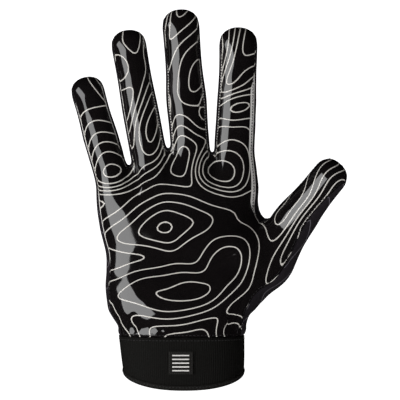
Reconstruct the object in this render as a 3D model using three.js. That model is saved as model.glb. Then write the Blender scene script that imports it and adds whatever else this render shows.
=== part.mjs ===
// A right-hand football receiver glove, with the palm towards -Y, the thumb towards +X and the fingers up.
// It has the shape that a hand gives it and is hollow from the wrist to the fingertips. The origin is the
// middle of the wrist opening, level with the lowest point of the hem. Lengths are millimetres.
//
// The skin is one net of rows and columns over the palm, the back, the fingers and the thumb. Each cut piece
// of the real glove takes its own faces of that net, gets a wall and keeps a seam gap to its neighbours.

import * as THREE from "three";

// Walls and seams
const PALM_WALL = 1.2;
const BACK_WALL = 1.0;
const CUFF_WALL = 2.4;
const SEAM_GAP = 0.3;

// Cuff, hem binding and label
const CUFF_WIDTH = 72;
const CUFF_DEPTH = 46;
const CUFF_HEIGHT = 30.3;
const HEM_DIP = 10.5; // the middle of the palm side hangs this much lower than the back
const HEM_RISE_ANGLE = 126; // the hem climbs from the middle of the palm side to this angle
const BINDING_HEIGHT = 2.8;
const BINDING_LIP = 0.35; // how far the binding stands out from the cuff, inside and outside
const LABEL_WIDTH = 14;
const LABEL_HEIGHT = 13;
const LABEL_THICKNESS = 0.5;
const LABEL_SIDE_SHIFT = -0.5;
const LABEL_FROM_TOP = 7.8; // from the cuff's top edge down to the label

// Palm: its height from the cuff to the knuckle line's highest point, and how high that line runs at each
// side of a finger, from the little finger's outer side on, in shares of it
const PALM_HEIGHT = 108;
const KNUCKLE_RISES = [0.847, 0.907, 1, 0.972, 0.981].map((share) => share * PALM_HEIGHT);
const KNUCKLE_SHIFT = -4.4; // the knuckle line's middle lies this far towards the little finger
const KNUCKLE_SET_BACK = 1.5;
const PALM_FRONT = 15; // from the wrist's middle plane to the palm's face
const PALM_BACK = 15;
const WEB_WIDTH = 1.2; // between two fingers at the bottom of their gap

// Fingers: the greatest width and depth across a base and the greatest length from the knuckle line. Each
// finger's own are shares of them, and its angles are in degrees.
const FINGER_WIDTH = 24.4;
const FINGER_DEPTH = 19.6;
const FINGER_LENGTH = 83.5;
const FINGERS = [
  { name: "little", wide: 0.869, deep: 0.898, long: 0.695, lean: -17.5, bend: 3.5, curl: 13, joint: 0.03 },
  { name: "ring", wide: 0.91, deep: 0.949, long: 0.91, lean: -11.2, bend: 2, curl: 11, joint: 0.02 },
  { name: "middle", wide: 0.967, deep: 1, long: 1, lean: -4.7, bend: 0.7, curl: 10, joint: 0.07 },
  { name: "index", wide: 1, deep: 1, long: 0.886, lean: 3.8, bend: -3.4, curl: 10, joint: 0.01 },
].map((row) => ({
  ...row,
  width: row.wide * FINGER_WIDTH,
  depth: row.deep * FINGER_DEPTH,
  length: row.long * FINGER_LENGTH,
}));
const THUMB = { width: 24, depth: 21, length: 64.2, lean: 36.6, bend: 2.2, curl: 6, joint: 0 };
const THUMB_FORWARD = 16; // the thumb's angle out of the palm's plane
const THUMB_SET_FORWARD = 4.5;
const THUMB_SET_IN = 8.1; // the thumb's root lies this far inside the middle of its base
const THUMB_CROTCH_DOWN = 0.42; // shares of the way from the knuckle line to the cuff
const THUMB_KNUCKLE_DOWN = 0.616;

// Sections along a finger: girth and deep are shares of its width and depth, and wrap is the angle to which
// the palm piece goes round it
const FINGER_SECTIONS = [
  { at: 0.0, girth: 1.0, deep: 1.05, wrap: 62 },
  { at: 0.2, girth: 0.965, deep: 1.0, wrap: 62 },
  { at: 0.45, girth: 0.935, deep: 0.95, wrap: 62 },
  { at: 0.65, girth: 0.905, deep: 0.9, wrap: 63 },
  { at: 0.88, girth: 0.92, deep: 0.86, wrap: 66 },
];
const FINGER_JOINT_AT = 0.37;
const FINGER_JOINT_SPREAD = 0.13;

// Sections along the thumb. Turn is the angle by which the palm piece is rolled towards the fingers.
const THUMB_SECTIONS = [
  { at: 0.0, girth: 1.34, deep: 1.62, wrap: 62, turn: -18 },
  { at: 0.2, girth: 1.16, deep: 1.26, wrap: 62, turn: -26 },
  { at: 0.42, girth: 1.01, deep: 1.03, wrap: 59, turn: -33 },
  { at: 0.62, girth: 0.89, deep: 0.91, wrap: 63, turn: -35 },
  { at: 0.86, girth: 0.86, deep: 0.88, wrap: 73, turn: -29 },
];

// Sections down the palm, from the knuckle line (0) to the cuff (1). The sides are shares of half the width
// that the row follows, and front and back are shares of the depths. The palm piece ends at the seam shares.
const PALM_SECTIONS = [
  { at: 0.0, of: "knuckles", little: 1.1, thumb: 0.924, front: 0.8, back: 0.85, seam: 0.955 },
  { at: 0.08, of: "knuckles", little: 1.074, thumb: 0.945, front: 0.87, back: 0.9, seam: 0.955 },
  { at: 0.16, of: "knuckles", little: 1.07, thumb: 0.96, front: 0.92, back: 0.94, seam: 0.955 },
  { at: 0.25, of: "knuckles", little: 1.05, thumb: 0.985, front: 0.93, back: 0.97, seam: 0.95 },
  { at: 0.37, of: "knuckles", little: 1.005, thumb: 1.04, front: 0.94, back: 1.0, seam: 0.94 },
  { at: 0.48, of: "knuckles", little: 0.953, thumb: 1.31, front: 0.97, back: 1.04, seam: 0.86 },
  { at: 0.6, of: "knuckles", little: 0.948, thumb: 1.475, front: 1.06, back: 1.1, seam: 0.76 },
  { at: 0.66, of: "knuckles", little: 0.957, thumb: 1.37, front: 1.15, back: 1.16, seam: 0.73 },
  { at: 0.73, of: "knuckles", little: 0.953, thumb: 1.2, front: 1.25, back: 1.22, seam: 0.73 },
  { at: 0.8, of: "knuckles", little: 0.935, thumb: 1.045, front: 1.34, back: 1.28, seam: 0.79 },
  { at: 0.86, of: "knuckles", little: 0.906, thumb: 0.918, front: 1.4, back: 1.33, seam: 0.84 },
  { at: 0.93, of: "cuff", little: 1.045, thumb: 1.02, front: 0.96, back: 0.96, seam: 0.9 },
  { at: 1.0, of: "cuff", little: 1.02, thumb: 1.01, front: 0.97, back: 0.97, seam: 0.94 },
];
const SEAM_LITTLE_SIDE = 0.955;
const SECTION_ROUNDNESS = 2.4; // the power of the oval: 2 is an ellipse, more is squarer
const TIP_ROUNDNESS = 2.35;

// Mounds of the palm: place and spread as shares of the palm's width and height, height in
// shares of its front depth
const MOUNDS = [
  { name: "thumb_mound", across: 0.82, down: 0.64, wide: 0.3, high: 0.22, height: 0.28 },
  { name: "heel_mound", across: 0.36, down: 0.76, wide: 0.28, high: 0.2, height: 0.23 },
  { name: "palm_middle", across: 0.6, down: 0.45, wide: 0.22, high: 0.22, height: 0.18 },
  { name: "finger_pads", across: 0.45, down: 0.12, wide: 0.5, high: 0.1, height: 0.08 },
];

// Folds of the skin: where they lie as shares of the palm's width and height, their run from upright in
// degrees, and length, width and height in shares of the cuff's height
const FRONT_FOLDS = [
  { name: "heel_gather_1", across: 0.035, down: 0.93, run: 8, length: 0.3, width: 0.1, height: 0.05 },
  { name: "heel_gather_2", across: 0.1, down: 0.95, run: -6, length: 0.26, width: 0.09, height: -0.04 },
  { name: "thumb_gather_1", across: 0.97, down: 0.93, run: 10, length: 0.3, width: 0.09, height: 0.06 },
  { name: "thumb_gather_2", across: 0.9, down: 0.94, run: 14, length: 0.3, width: 0.08, height: -0.05 },
  { name: "thumb_gather_3", across: 0.83, down: 0.95, run: 18, length: 0.26, width: 0.08, height: 0.04 },
  { name: "heel_crease", across: 0.3, down: 0.955, run: 86, length: 0.5, width: 0.09, height: -0.03 },
];
const BACK_FOLDS = [
  { name: "back_gather_1", across: 0.12, down: 0.94, run: -6, length: 0.3, width: 0.1, height: 0.05 },
  { name: "back_gather_2", across: 0.38, down: 0.95, run: 4, length: 0.24, width: 0.1, height: 0.04 },
  { name: "back_gather_3", across: 0.62, down: 0.95, run: -4, length: 0.24, width: 0.1, height: 0.04 },
  { name: "back_gather_4", across: 0.88, down: 0.94, run: 6, length: 0.3, width: 0.1, height: 0.05 },
];
const FOLD_FADE = 0.1; // shares of the cuff's height, as the bulge's: folds die out this near the cuff
// The skin gathers outward on the thumb side just above the cuff.
const WRIST_BULGE = { height: 0.043, rise: 0.18, wide: 0.23, high: 0.13 };
// The thumb's lowest knuckle stands out to the side, in shares of the thumb's width.
const KNUCKLE_BULGE = { height: 0.15, spread: 0.46 };

// Sections up the cuff, from its hem (0) to its top (1): sides and depth as shares of half the cuff's
const CUFF_SECTIONS = [
  { at: 0.0, little: 0.92, thumb: 1.0, depth: 0.95 },
  { at: 0.25, little: 0.94, thumb: 1.0, depth: 0.98 },
  { at: 0.55, little: 0.975, thumb: 1.01, depth: 1.0 },
  { at: 1.0, little: 1.02, thumb: 1.01, depth: 0.97 },
];

// Section of the hem binding, from its lower edge (0) to its upper one (1). Its edges are rounded by drawing
// its face in, in shares of its height.
const BINDING_SECTIONS = [
  { at: 0.0, drawn_in: 0.18 },
  { at: 0.25, drawn_in: 0 },
  { at: 0.85, drawn_in: 0 },
  { at: 1.0, drawn_in: 0.11 },
];

// How much of the finger bases' own shape, and of the thumb root's, is left along the palm, in shares of the
// way from the knuckle line to the cuff, and how much of the palm's width the thumb draws out with it
const FINGER_FADE = 0.24;
const THUMB_FADE = 0.26;
const THUMB_REACH = 0.42;

// The skin is drawn tight within these distances of where the fingers and the thumb leave the palm. Above 1,
// the firmness keeps the middle of such a place fully drawn.
const WEB_BLEND = 8;
const CROTCH_BLEND = 17;
const THUMB_BLEND = 28;
const BLEND_FIRMNESS = 1.4;
const RELAX_STEPS = 15;
const RELAX_DRAW = 0.6;
const RELAX_SWELL = 0.42;

// How fine the net is
const FINGER_COLUMNS = 6;
const THUMB_COLUMNS = 6;
const FINGER_ROWS = 9;
const THUMB_ROWS = 8;
const TIP_ROWS = 6;
const TIP_ROWS_IN_FRONT = 4;
const ROWS_ABOVE_THUMB = 6;
const ROWS_BELOW_THUMB = 8;
const CUFF_COLUMNS = 40;
const CUFF_ROWS = 5;
const LABEL_COLUMNS = 6;
const LABEL_ROWS = 3;
const HALVINGS = 40; // how often an angle is halved to find a point of the cuff

const { clamp, degToRad, lerp } = THREE.MathUtils;
const point = (x, y, z) => new THREE.Vector3(x, y, z);
const steps = (n) => Array.from({ length: n + 1 }, (_, i) => i);

function ease(x) {
  const u = clamp(x, 0, 1);
  return u * u * (3 - 2 * u);
}

// A bell of height 1 that reaches 0.37 at a distance of one spread.
const bell = (distance, spread) => Math.exp(-((distance / spread) ** 2));

// A column of a table of sections, read along a smooth curve through its rows.
function read(table, at, column) {
  const last = table.length - 1;
  const next = table.findIndex((row) => row.at > at);
  const here = next < 0 ? last - 1 : clamp(next - 1, 0, last - 1);
  const slopeAt = (i) => {
    const before = table[Math.max(i - 1, 0)];
    const after = table[Math.min(i + 1, last)];
    return (after[column] - before[column]) / (after.at - before.at);
  };
  const start = table[here];
  const end = table[here + 1];
  const span = end.at - start.at;
  const u = clamp((at - start.at) / span, 0, 1);
  const bow = u * (1 - u) * span;
  const straight = lerp(start[column], end[column], ease(u));
  return straight + bow * ((1 - u) * slopeAt(here) - u * slopeAt(here + 1));
}

// A unit vector that leans sideways and forward from straight up.
function heading(lean, forward) {
  const [l, f] = [degToRad(lean), degToRad(forward)];
  return point(Math.sin(l) * Math.cos(f), -Math.sin(f), Math.cos(l) * Math.cos(f));
}

// Derived sizes
const CUFF_TOP = CUFF_HEIGHT;
const SKIN_BOTTOM = CUFF_TOP + SEAM_GAP;
const FINGER_SPREADS = FINGERS.map((size) => size.width * Math.cos(degToRad(size.lean)));
const KNUCKLE_WIDTH = FINGER_SPREADS.reduce((sum, spread) => sum + spread + WEB_WIDTH, -WEB_WIDTH);
const HALF_WIDTHS = { knuckles: KNUCKLE_WIDTH / 2, cuff: CUFF_WIDTH / 2 };
const HALF_DEPTHS = {
  knuckles: { front: PALM_FRONT, back: PALM_BACK },
  cuff: { front: CUFF_DEPTH / 2, back: CUFF_DEPTH / 2 },
};

// The palm's sections with their shares turned into lengths.
const PALM = PALM_SECTIONS.map((row) => ({
  at: row.at,
  little: row.little * HALF_WIDTHS[row.of],
  thumb: row.thumb * HALF_WIDTHS[row.of],
  front: row.front * HALF_DEPTHS[row.of].front,
  back: row.back * HALF_DEPTHS[row.of].back,
  seam: row.seam,
}));

// A finger or the thumb: a bent tube with a round tip. Its angles run from 0 at the palm side over 90 at the
// thumb side to 180 at the back.
function digit({ size, base, forward, sections, slant }) {
  const half = size.length / 2;
  const knee = base.clone().addScaledVector(heading(size.lean, forward), half);
  const tip = knee.clone().addScaledVector(heading(size.lean + size.bend, forward + size.curl), half);
  const line = new THREE.QuadraticBezierCurve3(base, knee, tip);

  const swell = (share) => size.joint * bell(share - FINGER_JOINT_AT, FINGER_JOINT_SPREAD);
  function frameAt(share) {
    const along = line.getTangent(clamp(share, 0, 1));
    const side = along.clone().cross(point(0, -1, 0)).normalize();
    const front = side.clone().cross(along);
    const turn = sections[0].turn === undefined ? 0 : degToRad(read(sections, share, "turn"));
    return {
      centre: line.getPoint(share),
      along,
      side: side.clone().multiplyScalar(Math.cos(turn)).addScaledVector(front, -Math.sin(turn)),
      front: front.clone().multiplyScalar(Math.cos(turn)).addScaledVector(side, Math.sin(turn)),
      halfWidth: (size.width / 2) * (read(sections, share, "girth") + swell(share)),
      halfDepth: (size.depth / 2) * (read(sections, share, "deep") + swell(share)),
    };
  }
  const tipHeight = (size.width / 2) * read(sections, 1, "girth");
  const tubeEnd = 1 - tipHeight / size.length;
  const wrapAt = (share) => read(sections, share, "wrap");

  function onTube(share, angle) {
    const f = frameAt(share);
    return f.centre
      .clone()
      .addScaledVector(f.side, f.halfWidth * Math.sin(degToRad(angle)))
      .addScaledVector(f.front, f.halfDepth * Math.cos(degToRad(angle)));
  }
  function onTip(across, over) {
    const f = frameAt(tubeEnd);
    const [a, o] = [degToRad(across), degToRad(over)];
    const reach = tipHeight * (1 - Math.abs(Math.sin(a)) ** TIP_ROUNDNESS) ** (1 / TIP_ROUNDNESS);
    return f.centre
      .clone()
      .addScaledVector(f.side, f.halfWidth * Math.sin(a))
      .addScaledVector(f.front, f.halfDepth * Math.cos(a) * Math.cos(o))
      .addScaledVector(f.along, reach * Math.sin(o));
  }
  return { length: size.length, slant, tubeEnd, wrapAt, onTube, onTip };
}

// The rows and columns of a digit. Front, back and both sides share their points along the seams.
function digitNet(d, columns, rows) {
  const front = [];
  const back = [];
  const littleSide = [];
  const thumbSide = [];
  for (const row of steps(rows)) {
    const shareOf = (angle) => {
      const start = (d.slant * Math.sin(degToRad(angle))) / d.length;
      return lerp(start, d.tubeEnd, row / rows);
    };
    const wrap = d.wrapAt(lerp(0, d.tubeEnd, row / rows));
    const place = (angle) => d.onTube(shareOf(angle), angle);
    const across = steps(columns).map((k) => lerp(-wrap, wrap, k / columns));
    front.push(across.map(place));
    back.push(across.map((angle) => place(180 - angle)));
    littleSide.push([front[row][0], place(-90), back[row][0]]);
    thumbSide.push([front[row][columns], place(90), back[row][columns]]);
  }
  const tipWrap = d.wrapAt(d.tubeEnd);
  const tipRow = (j) => {
    const over = (180 * j) / TIP_ROWS;
    return steps(columns).map((k) => d.onTip(lerp(-tipWrap, tipWrap, k / columns), over));
  };
  for (let j = 1; j <= TIP_ROWS_IN_FRONT; j++) {
    front.push(tipRow(j));
  }
  for (let j = TIP_ROWS - 1; j > TIP_ROWS_IN_FRONT; j--) {
    back.push(tipRow(j));
  }
  back.push(front[front.length - 1]);
  return { front, back, littleSide, thumbSide, rows };
}

// The faces of the net, by the piece of the glove that they belong to.
const faces = { palm_panel: [], back_panel: [] };

function addGrid(piece, rows, outward = true) {
  for (let r = 0; r + 1 < rows.length; r++) {
    for (let c = 0; c + 1 < rows[r].length; c++) {
      const ring = [rows[r][c], rows[r][c + 1], rows[r + 1][c + 1], rows[r + 1][c]];
      faces[piece].push(outward ? ring : ring.reverse());
    }
  }
}

// The round end of a side strip, from the pole on the digit's side to the seam over the tip.
function addSideEnd(piece, net, side, outward) {
  const column = side === "thumbSide" ? net.front[0].length - 1 : 0;
  const pole = net[side][net.rows][1];
  const overFront = net.front.slice(net.rows).map((row) => row[column]);
  const overBack = net.back.slice(net.rows).map((row) => row[column]);
  const arc = [...overFront, ...overBack.reverse().slice(1)];
  for (let i = 0; i + 1 < arc.length; i++) {
    faces[piece].push(outward ? [pole, arc[i + 1], arc[i]] : [pole, arc[i], arc[i + 1]]);
  }
}

// The four fingers stand side by side on the knuckle line.
let fingerEdge = KNUCKLE_SHIFT - KNUCKLE_WIDTH / 2;
const fingers = FINGERS.map((size, i) => {
  const lean = degToRad(size.lean);
  const spread = FINGER_SPREADS[i];
  const rises = KNUCKLE_RISES.slice(i, i + 2);
  const base = point(fingerEdge + spread / 2, KNUCKLE_SET_BACK, CUFF_TOP + (rises[0] + rises[1]) / 2);
  fingerEdge += spread + WEB_WIDTH;
  const slant = ((rises[1] - rises[0]) / 2 + (Math.sin(lean) * size.width) / 2) / Math.cos(lean);
  return digit({ size, base, forward: 0, sections: FINGER_SECTIONS, slant });
});
const fingerNets = fingers.map((d) => digitNet(d, FINGER_COLUMNS, FINGER_ROWS));

// The palm's form: its height above the wrist for a share of the way down, and its section there.
const lastFinger = FINGERS.length - 1;
const heightAt = (rise, down) => lerp(CUFF_TOP + rise, SKIN_BOTTOM, down);

function palmPoint(across, down, side, rise) {
  const left = -read(PALM, down, "little");
  const right = read(PALM, down, "thumb");
  const middle = (left + right) / 2;
  const half = (right - left) / 2;
  const front = read(PALM, down, "front");
  const back = read(PALM, down, "back");
  const deep = (back - front) / 2;
  const thumbSeam = side === "front" ? read(PALM, down, "seam") : SEAM_LITTLE_SIDE;
  const x = lerp(middle - half * SEAM_LITTLE_SIDE, middle + half * thumbSeam, across);
  const share = Math.abs((x - middle) / half);
  const round = (1 - share ** SECTION_ROUNDNESS) ** (1 / SECTION_ROUNDNESS);
  let y = side === "front" ? deep - (front + deep) * round : deep + (back - deep) * round;
  if (side === "front") {
    for (const m of MOUNDS) {
      y -= m.height * PALM_FRONT * bell(across - m.across, m.wide) * bell(down - m.down, m.high) * round;
    }
  }
  return point(x, y, heightAt(rise, down));
}

function palmEdge(down, side, rise) {
  const x = side === "little" ? -read(PALM, down, "little") : read(PALM, down, "thumb");
  const deep = (read(PALM, down, "back") - read(PALM, down, "front")) / 2;
  return point(x, deep, heightAt(rise, down));
}

// The thumb grows from the palm's side, between its crotch and its knuckle.
const thumbRise = KNUCKLE_RISES[KNUCKLE_RISES.length - 1];
const crotch = palmEdge(THUMB_CROTCH_DOWN, "thumb", thumbRise);
const knuckle = palmEdge(THUMB_KNUCKLE_DOWN, "thumb", thumbRise);
const thumbBase = crotch.clone().add(knuckle).multiplyScalar(0.5);
thumbBase.x -= THUMB_SET_IN;
thumbBase.y = -THUMB_SET_FORWARD;
const thumbAxis = heading(THUMB.lean, 0);
const crotchReach = point(crotch.x - thumbBase.x, 0, crotch.z - thumbBase.z);
const thumb = digit({
  size: THUMB,
  base: thumbBase,
  forward: THUMB_FORWARD,
  sections: THUMB_SECTIONS,
  slant: -crotchReach.dot(thumbAxis),
});
const thumbNet = digitNet(thumb, THUMB_COLUMNS, THUMB_ROWS);

// Rows of the palm, as shares of the way down. The thumb's columns end on those between crotch and knuckle.
const sharesBetween = (from, to, count) => steps(count).map((i) => lerp(from, to, i / count));
const downs = [
  ...sharesBetween(0, THUMB_CROTCH_DOWN, ROWS_ABOVE_THUMB),
  ...sharesBetween(THUMB_CROTCH_DOWN, THUMB_KNUCKLE_DOWN, THUMB_COLUMNS).slice(1),
  ...sharesBetween(THUMB_KNUCKLE_DOWN, 1, ROWS_BELOW_THUMB).slice(1),
];
const crotchRow = ROWS_ABOVE_THUMB;
const knuckleRow = ROWS_ABOVE_THUMB + THUMB_COLUMNS;

// How much of the finger bases' own shape is left at a share of the way down, and of the thumb root's.
const fingerShare = (down) => 1 - ease(down / FINGER_FADE);
function thumbShare(down) {
  const outside = Math.max(THUMB_CROTCH_DOWN - down, down - THUMB_KNUCKLE_DOWN, 0);
  return 1 - ease(outside / THUMB_FADE);
}

// One sheet of the palm or of the back of the hand, top row first. Its top row is the fingers' own.
function sheet(side) {
  const top = fingerNets.flatMap((net) => net[side][0]);
  const last = top.length - 1;
  const acrossOf = top.map((p) => (p.x - top[0].x) / (top[last].x - top[0].x));
  const riseOf = top.map((p) => p.z - CUFF_TOP);
  return downs.map((down, r) => {
    if (r === 0) return top;
    return top.map((p, k) => {
      const form = palmPoint(acrossOf[k], down, side, riseOf[k]);
      const start = palmPoint(acrossOf[k], 0, side, riseOf[k]);
      return form.addScaledVector(p.clone().sub(start), fingerShare(down));
    });
  });
}

// The sheet's rows reach out to the thumb's root, and the rows above and below follow part of the way.
function joinThumb(rows, side) {
  const last = rows[0].length - 1;
  const ends = thumbNet[side][0];
  const reachAt = (r) => ends[r - crotchRow].clone().sub(rows[r][last]);
  const reaches = rows.map((_, r) => reachAt(clamp(r, crotchRow, knuckleRow)));
  const width = rows[0][last].x - rows[0][0].x;
  rows.forEach((row, r) => {
    if (r === 0) return;
    const share = thumbShare(downs[r]);
    const from = row[last].x - width * THUMB_REACH;
    for (const p of row) {
      p.addScaledVector(reaches[r], share * ease((p.x - from) / (width * THUMB_REACH)));
    }
    if (r >= crotchRow && r <= knuckleRow) row[last] = ends[r - crotchRow];
  });
}
const palmSheet = sheet("front");
const backSheet = sheet("back");
joinThumb(palmSheet, "front");
joinThumb(backSheet, "back");

// The strip round one side of the hand, with its middle line on the outline.
function sideStrip(which, rows) {
  const isThumbSide = which === "thumb";
  const column = isThumbSide ? palmSheet[0].length - 1 : 0;
  const top = isThumbSide ? fingerNets[lastFinger].thumbSide[0] : fingerNets[0].littleSide[0];
  const rise = isThumbSide ? thumbRise : KNUCKLE_RISES[0];
  const topReach = top[1].clone().sub(palmEdge(0, which, rise));
  return rows.map((r) => {
    if (r === 0) return top;
    if (isThumbSide && r === crotchRow) return thumbNet.littleSide[0];
    if (isThumbSide && r === knuckleRow) return thumbNet.thumbSide[0];
    const middle = palmEdge(downs[r], which, rise);
    middle.addScaledVector(topReach, fingerShare(downs[r]));
    if (isThumbSide) {
      const isAbove = r < crotchRow;
      const root = isAbove ? thumbNet.littleSide[0] : thumbNet.thumbSide[0];
      const rootDown = isAbove ? THUMB_CROTCH_DOWN : THUMB_KNUCKLE_DOWN;
      const rootReach = root[1].clone().sub(palmEdge(rootDown, which, rise));
      middle.addScaledVector(rootReach, thumbShare(downs[r]));
    }
    return [palmSheet[r][column], middle, backSheet[r][column]];
  });
}
const allRows = downs.map((_, r) => r);
const littleStrip = sideStrip("little", allRows);
const upperThumbStrip = sideStrip("thumb", allRows.slice(0, crotchRow + 1));
const lowerThumbStrip = sideStrip("thumb", allRows.slice(knuckleRow));

// Rows run upwards in every grid, so that its faces turn the same way.
const upwards = (rows) => [...rows].reverse();
addGrid("palm_panel", upwards(palmSheet));
addGrid("back_panel", upwards(backSheet), false);
addGrid("back_panel", upwards(littleStrip), false);
addGrid("back_panel", upwards(upperThumbStrip));
addGrid("back_panel", upwards(lowerThumbStrip));
for (const net of [...fingerNets, thumbNet]) {
  addGrid("palm_panel", net.front);
  addGrid("back_panel", net.back, false);
}
addGrid("back_panel", fingerNets[0].littleSide, false);
addSideEnd("back_panel", fingerNets[0], "littleSide", false);
addGrid("back_panel", fingerNets[lastFinger].thumbSide);
addSideEnd("back_panel", fingerNets[lastFinger], "thumbSide", true);
addGrid("back_panel", thumbNet.littleSide, false);
addSideEnd("back_panel", thumbNet, "littleSide", false);
addGrid("back_panel", thumbNet.thumbSide);
addSideEnd("back_panel", thumbNet, "thumbSide", true);

// Each finger gap has its own strip: down one finger, through the web and up the next.
const webs = [];
for (let i = 0; i < lastFinger; i++) {
  const piece = `${FINGERS[i].name}_${FINGERS[i + 1].name}_gusset`;
  faces[piece] = [];
  addGrid(piece, fingerNets[i].thumbSide);
  addSideEnd(piece, fingerNets[i], "thumbSide", true);
  addGrid(piece, fingerNets[i + 1].littleSide, false);
  addSideEnd(piece, fingerNets[i + 1], "littleSide", false);
  const from = fingerNets[i].thumbSide[0];
  const to = fingerNets[i + 1].littleSide[0];
  for (let j = 0; j + 1 < from.length; j++) {
    faces[piece].push([from[j], to[j], to[j + 1], from[j + 1]]);
  }
  webs.push(from[1].clone().add(to[1]).multiplyScalar(0.5));
}

// The skin is drawn tight where the fingers and the thumb leave the palm.
const blends = [
  ...webs.map((at) => ({ at, radius: WEB_BLEND })),
  { at: crotch.clone().setY(-THUMB_SET_FORWARD), radius: CROTCH_BLEND },
  { at: thumbBase.clone(), radius: THUMB_BLEND },
];
const everyFace = Object.values(faces).flat();
const neighbours = new Map();
for (const ring of everyFace) {
  ring.forEach((p, i) => {
    if (!neighbours.has(p)) neighbours.set(p, new Set());
    neighbours.get(p).add(ring[(i + 1) % ring.length]);
    neighbours.get(p).add(ring[(i + ring.length - 1) % ring.length]);
  });
}
const pull = new Map();
for (const p of neighbours.keys()) {
  const pulls = blends.map((b) => ease(BLEND_FIRMNESS * (1 - p.distanceTo(b.at) / b.radius)));
  pull.set(p, Math.max(...pulls));
}
// Every other step swells it again, so that it keeps its size.
for (let i = 0; i < 2 * RELAX_STEPS; i++) {
  const step = i % 2 ? -RELAX_SWELL : RELAX_DRAW;
  const moves = [];
  for (const [p, near] of neighbours) {
    const weight = pull.get(p);
    if (weight <= 0) continue;
    const mean = [...near].reduce((sum, q) => sum.add(q), point(0, 0, 0)).divideScalar(near.size);
    moves.push([p, p.clone().lerp(mean, step * weight)]);
  }
  moves.forEach(([p, to]) => p.copy(to));
}

// Outward normals of the whole skin, so that neighbouring pieces have walls that meet.
function normalsOf(rings) {
  const normals = new Map();
  for (const ring of rings) {
    const [a, b, c, d] = [ring[0], ring[1], ring[2], ring[3] ?? ring[0]];
    const normal = c.clone().sub(a).cross(d === a ? b.clone().sub(a) : d.clone().sub(b));
    if (d === a) normal.negate();
    for (const p of ring) {
      if (!normals.has(p)) normals.set(p, point(0, 0, 0));
      normals.get(p).add(normal);
    }
  }
  for (const normal of normals.values()) {
    normal.normalize();
  }
  return normals;
}

// Folds and gathers push the skin in or out along its normal.
const wristHalf = CUFF_WIDTH / 2;
const knuckleSide = thumbNet.thumbSide[0][1].clone();
for (const [p, normal] of normalsOf(everyFace)) {
  const above = (p.z - SKIN_BOTTOM) / CUFF_HEIGHT;
  const aside = (p.x - wristHalf) / CUFF_HEIGHT;
  const bulge = bell(aside, WRIST_BULGE.wide) * bell(above - WRIST_BULGE.rise, WRIST_BULGE.high);
  let push = WRIST_BULGE.height * bulge;
  for (const fold of normal.y < 0 ? FRONT_FOLDS : BACK_FOLDS) {
    const middleX = lerp(-wristHalf, wristHalf, fold.across);
    const middleZ = CUFF_TOP + (1 - fold.down) * PALM_HEIGHT;
    const dx = (p.x - middleX) / CUFF_HEIGHT;
    const dz = (p.z - middleZ) / CUFF_HEIGHT;
    const run = degToRad(fold.run);
    const along = dx * Math.sin(run) + dz * Math.cos(run);
    const off = dx * Math.cos(run) - dz * Math.sin(run);
    push += fold.height * bell(along, fold.length) * bell(off, fold.width);
  }
  const nearKnuckle = bell(p.distanceTo(knuckleSide) / THUMB.width, KNUCKLE_BULGE.spread);
  p.addScaledVector(normal, KNUCKLE_BULGE.height * THUMB.width * nearKnuckle);
  p.addScaledVector(normal, push * CUFF_HEIGHT * ease(above / FOLD_FADE));
}

const skinNormals = normalsOf(everyFace);

// One closed piece with a wall: the skin's faces outside, the same faces set in by the wall inside, and a
// rim. Its edges stay half a seam gap inside the faces' own edges.
function skinPiece(rings, wall) {
  const ids = new Map();
  for (const p of rings.flat()) {
    if (!ids.has(p)) ids.set(p, ids.size);
  }
  const edges = new Map();
  const key = (p, q) => `${ids.get(p)}_${ids.get(q)}`;
  for (const ring of rings) {
    ring.forEach((p, i) => {
      const q = ring[(i + 1) % ring.length];
      edges.set(key(p, q), [p, q]);
    });
  }
  const rim = [...edges.values()].filter(([p, q]) => !edges.has(key(q, p)));
  const inward = new Map();
  for (const [p, q] of rim) {
    const along = q.clone().sub(p).normalize();
    for (const end of [p, q]) {
      if (!inward.has(end)) inward.set(end, point(0, 0, 0));
      inward.get(end).add(skinNormals.get(end).clone().cross(along));
    }
  }
  const positions = [];
  for (const [p] of ids) {
    const at = p.clone();
    if (inward.has(p)) at.addScaledVector(inward.get(p).normalize(), SEAM_GAP / 2);
    positions.push(at.x, at.y, at.z);
    at.addScaledVector(skinNormals.get(p), -wall);
    positions.push(at.x, at.y, at.z);
  }
  const triangles = [];
  const outer = (p) => 2 * ids.get(p);
  const inner = (p) => 2 * ids.get(p) + 1;
  for (const ring of rings) {
    for (let i = 1; i + 1 < ring.length; i++) {
      triangles.push(outer(ring[0]), outer(ring[i]), outer(ring[i + 1]));
      triangles.push(inner(ring[0]), inner(ring[i + 1]), inner(ring[i]));
    }
  }
  for (const [p, q] of rim) {
    triangles.push(outer(q), outer(p), inner(p));
    triangles.push(outer(q), inner(p), inner(q));
  }
  return closedMesh(positions, triangles);
}

function closedMesh(positions, triangles) {
  const geometry = new THREE.BufferGeometry();
  geometry.setAttribute("position", new THREE.Float32BufferAttribute(positions, 3));
  geometry.setIndex(triangles);
  geometry.computeVertexNormals();
  return geometry;
}

// The cuff's outline at a share of its height. The angle is 0 at the palm side and 90 at the thumb side.
function cuffPoint(angle, share, z, out) {
  const left = (-read(CUFF_SECTIONS, share, "little") * CUFF_WIDTH) / 2;
  const right = (read(CUFF_SECTIONS, share, "thumb") * CUFF_WIDTH) / 2;
  const middle = (left + right) / 2;
  const half = (right - left) / 2;
  const deep = (read(CUFF_SECTIONS, share, "depth") * CUFF_DEPTH) / 2;
  const across = Math.sin(degToRad(angle));
  const forward = Math.cos(degToRad(angle));
  const bend = (value, power) => Math.sign(value) * Math.abs(value) ** power;
  const power = 2 / SECTION_ROUNDNESS;
  const at = point(middle + half * bend(across, power), -deep * bend(forward, power), z);
  const normal = point(bend(across, 2 - power) / half, -bend(forward, 2 - power) / deep, 0);
  return at.addScaledVector(normal.normalize(), out);
}

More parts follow.
